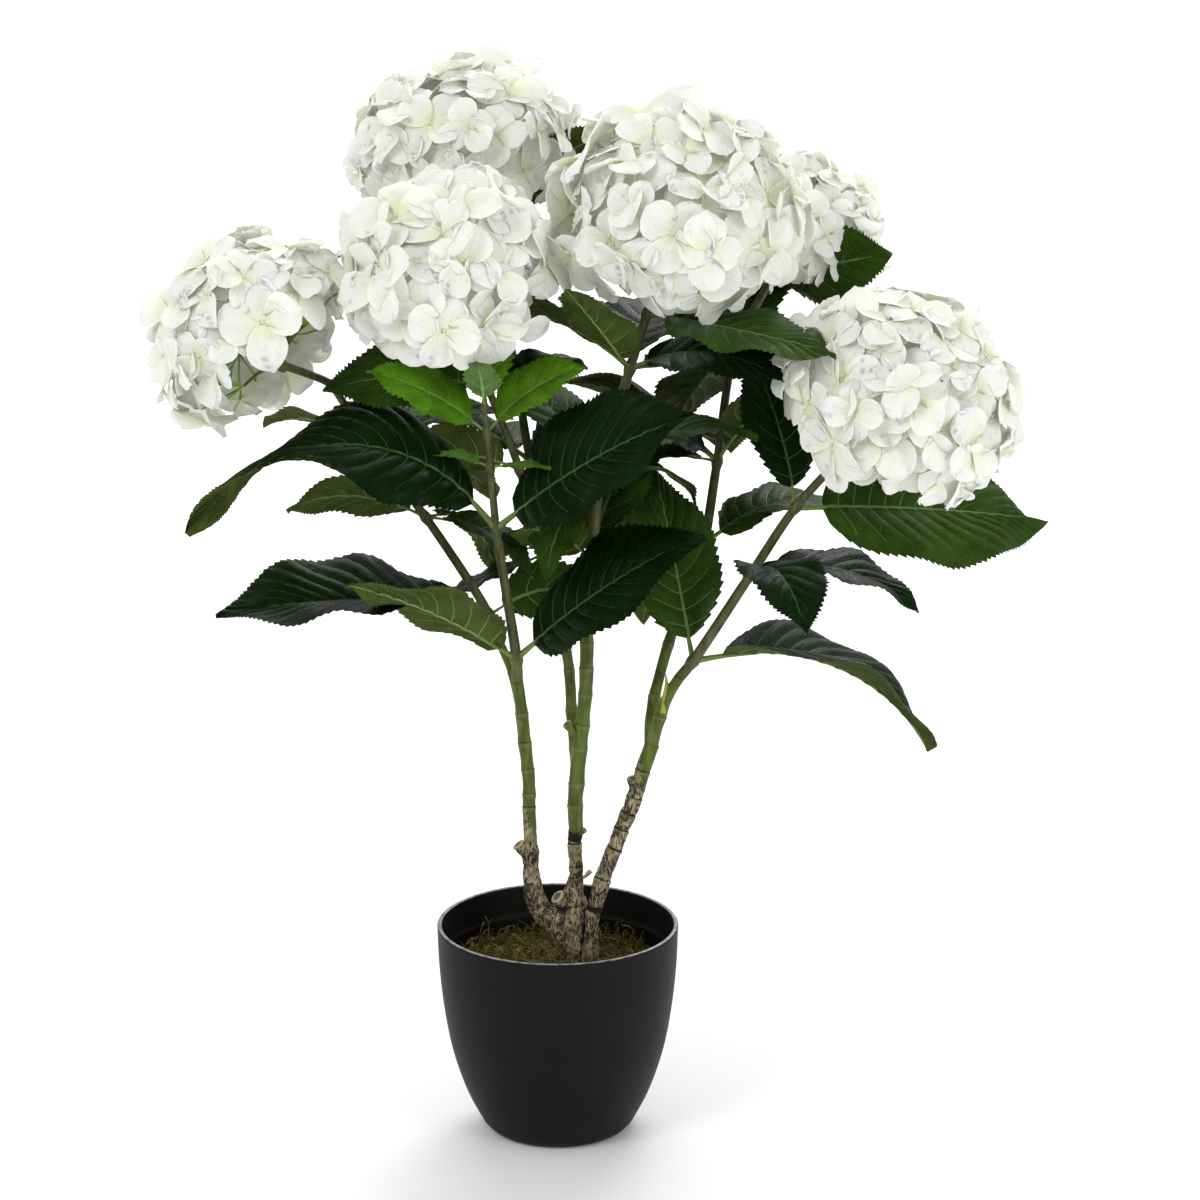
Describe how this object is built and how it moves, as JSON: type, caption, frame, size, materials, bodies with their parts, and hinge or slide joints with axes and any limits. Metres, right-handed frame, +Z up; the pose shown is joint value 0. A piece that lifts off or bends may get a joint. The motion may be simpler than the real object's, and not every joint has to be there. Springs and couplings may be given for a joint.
{
  "type": "potted artificial hydrangea",
  "caption": "Artificial white hydrangea on a knuckled, jointed trunk, with round mophead blooms and broad pointed leaves, in a round black pot topped with moss.",
  "frame": {"origin": "centre of the pot's flat underside", "axes": "+Z up along the pot's axis; -Y towards the plant's front, where its low leaves spread and the blooms face; +X to its right as seen from the front"},
  "size_m": [0.5705, 0.316, 0.7001],
  "materials": {
    "pot": "matte",
    "moss": "matte",
    "bark": "matte",
    "cane": "satin",
    "leaf": "satin",
    "bloom": "matte"
  },
  "bodies": {
    "root": {"pot": "pot", "moss_plug": "moss", "trunk": "bark", "left_cane": "cane", "left_rear_cane": "cane", "middle_cane": "cane", "middle_rear_cane": "cane", "right_cane": "cane", "right_front_cane": "cane", "right_rear_cane": "cane", "left_rear_bloom": "bloom", "left_middle_bloom": "bloom", "rear_bloom": "bloom", "middle_bloom": "bloom", "right_rear_bloom": "bloom", "right_front_bloom": "bloom", "left_front_shoot": "leaf", "left_rear_shoot": "leaf", "left_middle_shoot": "leaf", "rear_shoot": "leaf", "middle_shoot": "leaf", "right_rear_shoot": "leaf", "right_front_shoot": "leaf"}
  },
  "joints": []
}
